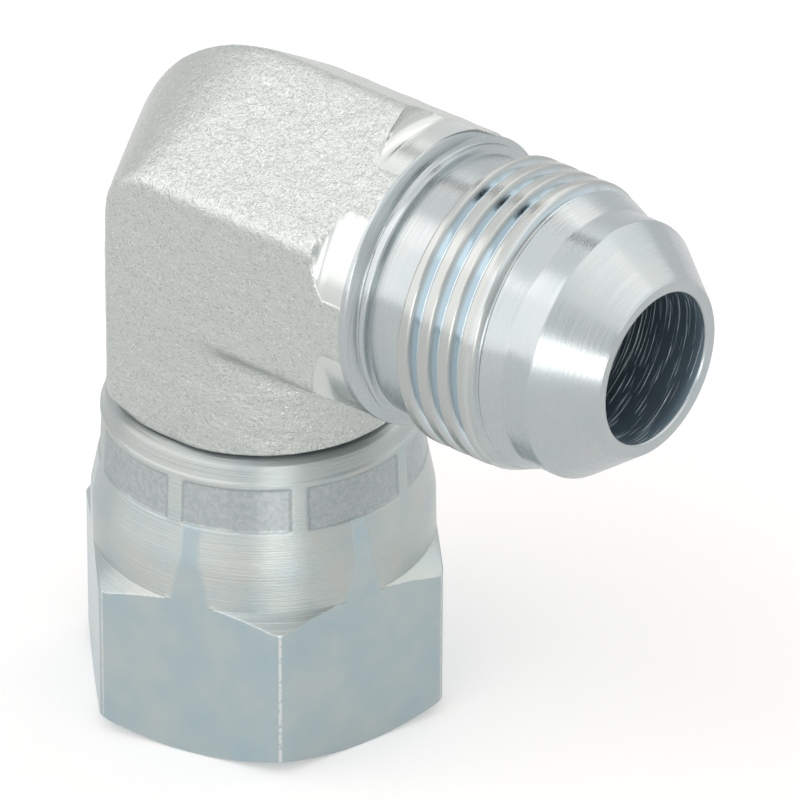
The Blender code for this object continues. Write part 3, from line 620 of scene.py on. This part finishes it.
jaw_tint = add_node(tree, "ShaderNodeMix", {"data_type": "RGBA", 6: srgb("#9ca5a7"), 7: srgb("#aeb4b4")},
                    {0: scuff_reach.outputs["Result"]})
worn = add_node(tree, "ShaderNodeMath", {"operation": "MULTIPLY_ADD", 1: 0.9},
                {0: scuff.outputs["Fac"], 2: jaw_mask.outputs["Fac"]})
worn_mask = add_node(tree, "ShaderNodeMapRange", {"From Min": 0.85, "From Max": 1.05},
                     {"Value": worn.outputs["Value"]})
tint = add_node(tree, "ShaderNodeMix", {"data_type": "RGBA"},
                {0: flat_mask.outputs["Fac"], 6: barrel_tint.outputs[2], 7: flat_tint.outputs[2]})
tint = add_node(tree, "ShaderNodeMix", {"data_type": "RGBA"},
                {0: worn_mask.outputs["Result"], 6: tint.outputs[2], 7: jaw_tint.outputs[2]})
# A ragged line of painted shade along the panels' sunken edges.
off_edge = add_node(tree, "ShaderNodeMath", {"operation": "SUBTRACT", 1: 0.95},
                    {0: worn.outputs["Value"]})
off_edge = add_node(tree, "ShaderNodeMath", {"operation": "ABSOLUTE"}, {0: off_edge.outputs["Value"]})
jaw_edge_shade = add_node(tree, "ShaderNodeMapRange", {"From Min": 0.3, "From Max": 0.08, "To Max": 0.4},
                    {"Value": off_edge.outputs["Value"]})
tint = add_node(tree, "ShaderNodeMix", {"data_type": "RGBA", 7: srgb("#7f8c8f")},
                {0: jaw_edge_shade.outputs["Result"], 6: tint.outputs[2]})
# Painted shade under the forging: the lip darkens towards its top.
apart = add_node(tree, "ShaderNodeSeparateXYZ", {}, {"Vector": place.outputs["Object"]})
lip_shade = add_node(tree, "ShaderNodeMapRange", {"From Min": LIP_SHADE_FROM, "From Max": LIP_SHADE_FULL, "To Max": 0.5},
               {"Value": apart.outputs["Z"]})
tint = add_node(tree, "ShaderNodeMix", {"data_type": "RGBA", 7: srgb("#a3aaaa")},
                {0: lip_shade.outputs["Result"], 6: tint.outputs[2]})
# The corners' nicks are bumped, and a pale tint along them, following the nicks, is a painted highlight.
corner_mask = add_node(tree, "ShaderNodeAttribute", {"attribute_name": "corner_nicks_and_highlight"})
nicks = add_node(tree, "ShaderNodeTexNoise", {"Scale": NICK_SCALE, "Detail": 2.0},
                 {"Vector": place.outputs["Object"]})
nick_highlight_reach = add_node(tree, "ShaderNodeMapRange", {"From Min": 0.34, "From Max": 0.5},
                      {"Value": nicks.outputs["Fac"]})
corner_highlight_share = add_node(tree, "ShaderNodeMath", {"operation": "MULTIPLY"},
                        {0: corner_mask.outputs["Fac"], 1: nick_highlight_reach.outputs["Result"]})
tint = add_node(tree, "ShaderNodeMix", {"data_type": "RGBA", 7: srgb("#c6cbc9")},
                {0: corner_highlight_share.outputs["Value"], 6: tint.outputs[2]})
tree.links.new(tint.outputs[2], shader.inputs["Base Color"])
ring_share = add_node(tree, "ShaderNodeMapRange", {"To Min": 1.0, "To Max": 0.01},
                      {"Value": flat_mask.outputs["Fac"]})
ring_height = add_node(tree, "ShaderNodeMath", {"operation": "MULTIPLY"},
                       {0: rings.outputs["Fac"], 1: ring_share.outputs["Result"]})
jaw_height = add_node(tree, "ShaderNodeMath", {"operation": "MULTIPLY", 1: 0.3},
                      {0: scuff.outputs["Fac"]})
height = add_node(tree, "ShaderNodeMix", {"data_type": "FLOAT"},
                  {0: jaw_mask.outputs["Fac"], 2: ring_height.outputs["Value"],
                   3: jaw_height.outputs["Value"]})
nick_height = add_node(tree, "ShaderNodeMath", {"operation": "MULTIPLY", 1: 1.1},
                       {0: nicks.outputs["Fac"]})
height = add_node(tree, "ShaderNodeMix", {"data_type": "FLOAT"},
                  {0: corner_mask.outputs["Fac"], 2: height.outputs[0], 3: nick_height.outputs["Value"]})
satin = add_node(tree, "ShaderNodeMapRange", {"To Min": 0.36, "To Max": 0.24},
                 {"Value": flat_mask.outputs["Fac"]})
tree.links.new(satin.outputs["Result"], shader.inputs["Roughness"])
bump = add_node(tree, "ShaderNodeBump", {"Distance": NUT_BUMP}, {"Height": height.outputs[0]})
tree.links.new(bump.outputs["Normal"], shader.inputs["Normal"])

paint(nut, len(nut_points), [nut_plate], [(0, 0)])
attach(nut, "nut")
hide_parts("swivel_nut")

# Swivel nut, inside: the 3/4-16 thread, the counterbore that holds the tail's shoulder, and the crimped
# claw above it. It is turned and plated like the male end, and only shows from below.
NUT_MINOR = 8.65            # radius at the thread's crests
NUT_MAJOR = 9.55            # and at its root
NUT_ROOT_HALF = 0.1         # half the width of the flat root
NUT_MOUTH = 9.75            # radius where the 45 degree lead-in meets the foot
NUT_THREAD_END = 11.5
NUT_THREAD_ROWS = 190
COUNTERBORE_RADIUS = 9.6
CLAW_AND_WALL = np.array([  # (radius, height) from the counterbore over the claw and back down to the foot
    (COUNTERBORE_RADIUS, NUT_THREAD_END + 0.02), (COUNTERBORE_RADIUS, 14.0), (COUNTERBORE_RADIUS, 17.0),
    (NECK_HOLE_RADIUS, 18.35), (WALL_RADIUS, 18.0), (WALL_RADIUS, 0.0)])


def nut_inside(columns):
    """The nut's inner skin as one closed sheet: up the thread, the counterbore and the claw, and back down
    inside the metal. The thread's radius falls from the root to the crest with the distance, along the
    axis, from the groove's centre, which climbs one pitch for each turn."""
    turn = np.linspace(0, 2 * np.pi, columns, endpoint=False)
    climb = np.linspace(0, NUT_THREAD_END, NUT_THREAD_ROWS)
    centre = PITCH * turn / (2 * math.pi)
    away = np.abs((climb[:, None] - centre + PITCH / 2) % PITCH - PITCH / 2)
    groove = NUT_MAJOR - np.maximum(away - NUT_ROOT_HALF, 0) * THREAD_SLOPE
    mouth = NUT_MOUTH - climb[:, None]
    radius = np.maximum(np.maximum(groove, NUT_MINOR), mouth)
    radius = np.concatenate([radius, np.repeat(CLAW_AND_WALL[:, :1], columns, axis=1)])
    height = np.concatenate([climb, CLAW_AND_WALL[:, 1]])[:, None]
    return np.stack([radius * np.cos(turn), radius * np.sin(turn), height + 0 * turn], axis=-1)


inside_points = nut_inside(columns=240)
nut_thread = closed_skin("swivel_nut_thread", inside_points, round_length=60.0, path_length=60.0)
paint(nut_thread, len(inside_points), [turned_plate], [(0, 0)])
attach(nut_thread, "nut")

# Table: a seamless white surface, which keeps a soft shadow under the part.
TABLE_HALF = 3.0            # metres
TABLE_LIFT = 0.24           # takes the lit paper up to white where it is looked at


def flat_sheet(name, half, material):
    """A level square sheet of that half width in metres, centred on the origin."""
    mesh = bpy.data.meshes.new(name)
    mesh.from_pydata([(-half, -half, 0), (half, -half, 0), (half, half, 0), (-half, half, 0)], [],
                     [(0, 1, 2, 3)])
    mesh.materials.append(material)
    return put_in_scene(name, mesh)


def looked_at(tree):
    """A socket that is 1 for rays from the camera, also by way of metal or glass, and 0 for the light that
    falls on the part."""
    path = add_node(tree, "ShaderNodeLightPath")
    seen = path.outputs["Is Camera Ray"]
    for ray in ("Is Glossy Ray", "Is Transmission Ray"):
        both = add_node(tree, "ShaderNodeMath", {"operation": "ADD", "use_clamp": True},
                        {0: seen, 1: path.outputs[ray]})
        seen = both.outputs["Value"]
    return seen


paper = bpy.data.materials.new("white_paper")
paper.use_nodes = True
tree = paper.node_tree
shader = tree.nodes["Principled BSDF"]
shader.inputs["Base Color"].default_value = srgb("#ebedee")
shader.inputs["Roughness"].default_value = 0.9
shader.inputs["Specular IOR Level"].default_value = 0.0
shader.inputs["Emission Color"].default_value = srgb("#ffffff")
lift = add_node(tree, "ShaderNodeMath", {"operation": "MULTIPLY", 1: TABLE_LIFT}, {0: looked_at(tree)})
tree.links.new(lift.outputs["Value"], shader.inputs["Emission Strength"])
table = flat_sheet("table", TABLE_HALF, paper)

# Studio. A white room with broad soft lamps on the left, overhead, behind on the right and far behind on
# the left, and a small low one in front. The room lights the part less than it looks, to keep its shadow.
ROOM_LIGHT = 0.45
world = bpy.data.worlds.new("white_room")
bpy.context.scene.world = world
world.use_nodes = True
tree = world.node_tree
tree.nodes["Background"].inputs["Color"].default_value = srgb("#ffffff")
level = add_node(tree, "ShaderNodeMapRange", {"To Min": ROOM_LIGHT, "To Max": 1.0},
                 {"Value": looked_at(tree)})
tree.links.new(level.outputs["Result"], tree.nodes["Background"].inputs["Strength"])

PART_MIDDLE = np.array([0, 0, 0.025])       # metres


def direction(azimuth, elevation):
    """A unit vector: azimuth 0 is towards -Y and 90 towards +X, in degrees, and elevation is upwards."""
    a, e = math.radians(azimuth), math.radians(elevation)
    return np.array([math.sin(a) * math.cos(e), -math.cos(a) * math.cos(e), math.sin(e)])


def face_part(piece, azimuth, elevation, distance):
    """Places a lamp or card at a direction and distance from the part's middle, facing it."""
    towards = direction(azimuth, elevation)
    turn = mathutils.Vector(-towards).to_track_quat("-Z", "Y")
    place = mathutils.Vector(towards * distance + PART_MIDDLE)
    piece.matrix_world = mathutils.Matrix.LocRotScale(place, turn, None)


def add_lamp(name, azimuth, elevation, distance, size, colour, radiance):
    """A rectangular soft lamp of that width and height in metres. Radiance is what its face adds to the
    white room behind it."""
    lamp = bpy.data.lights.new(name, "AREA")
    lamp.shape = "RECTANGLE"
    lamp.size, lamp.size_y = size
    lamp.color = srgb(colour)[:3]
    lamp.energy = radiance * math.pi * size[0] * size[1]
    piece = put_in_scene(name, lamp)
    piece.visible_camera = False
    face_part(piece, azimuth, elevation, distance)


add_lamp("soft_lamp_left", -24, 34, 1.1, (2.2, 1.35), "#fff6f4", 0.96)
add_lamp("soft_lamp_above", 0, 90, 1.2, (1.95, 1.95), "#fff6f2", 0.46)
add_lamp("soft_lamp_behind", 130, 44, 1.2, (2.4, 1.0), "#fff6ee", 0.58)
add_lamp("soft_lamp_far", -152, 48, 1.2, (1.1, 0.6), "#fff6f0", 0.42)
add_lamp("low_lamp_front", 48, 8, 0.4, (0.16, 0.14), "#fffaf6", 3.7)

# Two dark cards behind on the left. The plain turned rings pick up the grey one, and the thread's valleys
# the black one.
CARDS = [(-128, 46, 0.075, "#8a8a8a"), (-144, 63, 0.13, "#101010")]     # azimuth, elevation, half width, felt
CARD_DISTANCE = 1.0
for number, (azimuth, elevation, half, colour) in enumerate(CARDS):
    felt = bpy.data.materials.new(f"card_felt_{number}")
    felt.use_nodes = True
    shader = felt.node_tree.nodes["Principled BSDF"]
    shader.inputs["Base Color"].default_value = srgb(colour)
    shader.inputs["Roughness"].default_value = 1.0
    card = flat_sheet(f"dark_card_{number}", half, felt)
    card.visible_camera = False
    face_part(card, azimuth, elevation, CARD_DISTANCE)

# Camera, worked out from the photograph: its angles, its distance and its lens.
AZIMUTH, ELEVATION = 39.3406, 31.6079
ROLL = math.radians(0.2825)
DISTANCE = 574.1734
LOOK_AT = np.array([8.0 + NUT_AXIS_X, 0, 20.0])
LOOK_RIGHT, LOOK_UP = 2.6155, 3.075     # from there to the middle of the picture
SENSOR_WIDTH = 36.0
FOCAL_LENGTH, PICTURE_WIDTH = 9019.106, 800     # in the photograph's pixels
back = direction(AZIMUTH, ELEVATION)
level_right = direction(AZIMUTH + 90, 0)
level_up = np.cross(back, level_right)
right = level_right * math.cos(ROLL) + level_up * math.sin(ROLL)
up = level_up * math.cos(ROLL) - level_right * math.sin(ROLL)
target = LOOK_AT + LOOK_RIGHT * right + LOOK_UP * up
camera_data = bpy.data.cameras.new("camera")
camera_data.sensor_width = SENSOR_WIDTH
camera_data.lens = FOCAL_LENGTH * SENSOR_WIDTH / PICTURE_WIDTH
camera_data.clip_start = 0.05
camera_data.clip_end = 20.0
camera = put_in_scene("camera", camera_data)
placing = np.eye(4)
placing[:3, 0], placing[:3, 1], placing[:3, 2] = right, up, back
placing[:3, 3] = (target + back * DISTANCE) * MM
camera.matrix_world = mathutils.Matrix(placing.tolist())
bpy.context.scene.camera = camera
bpy.context.scene.view_settings.view_transform = "Standard"
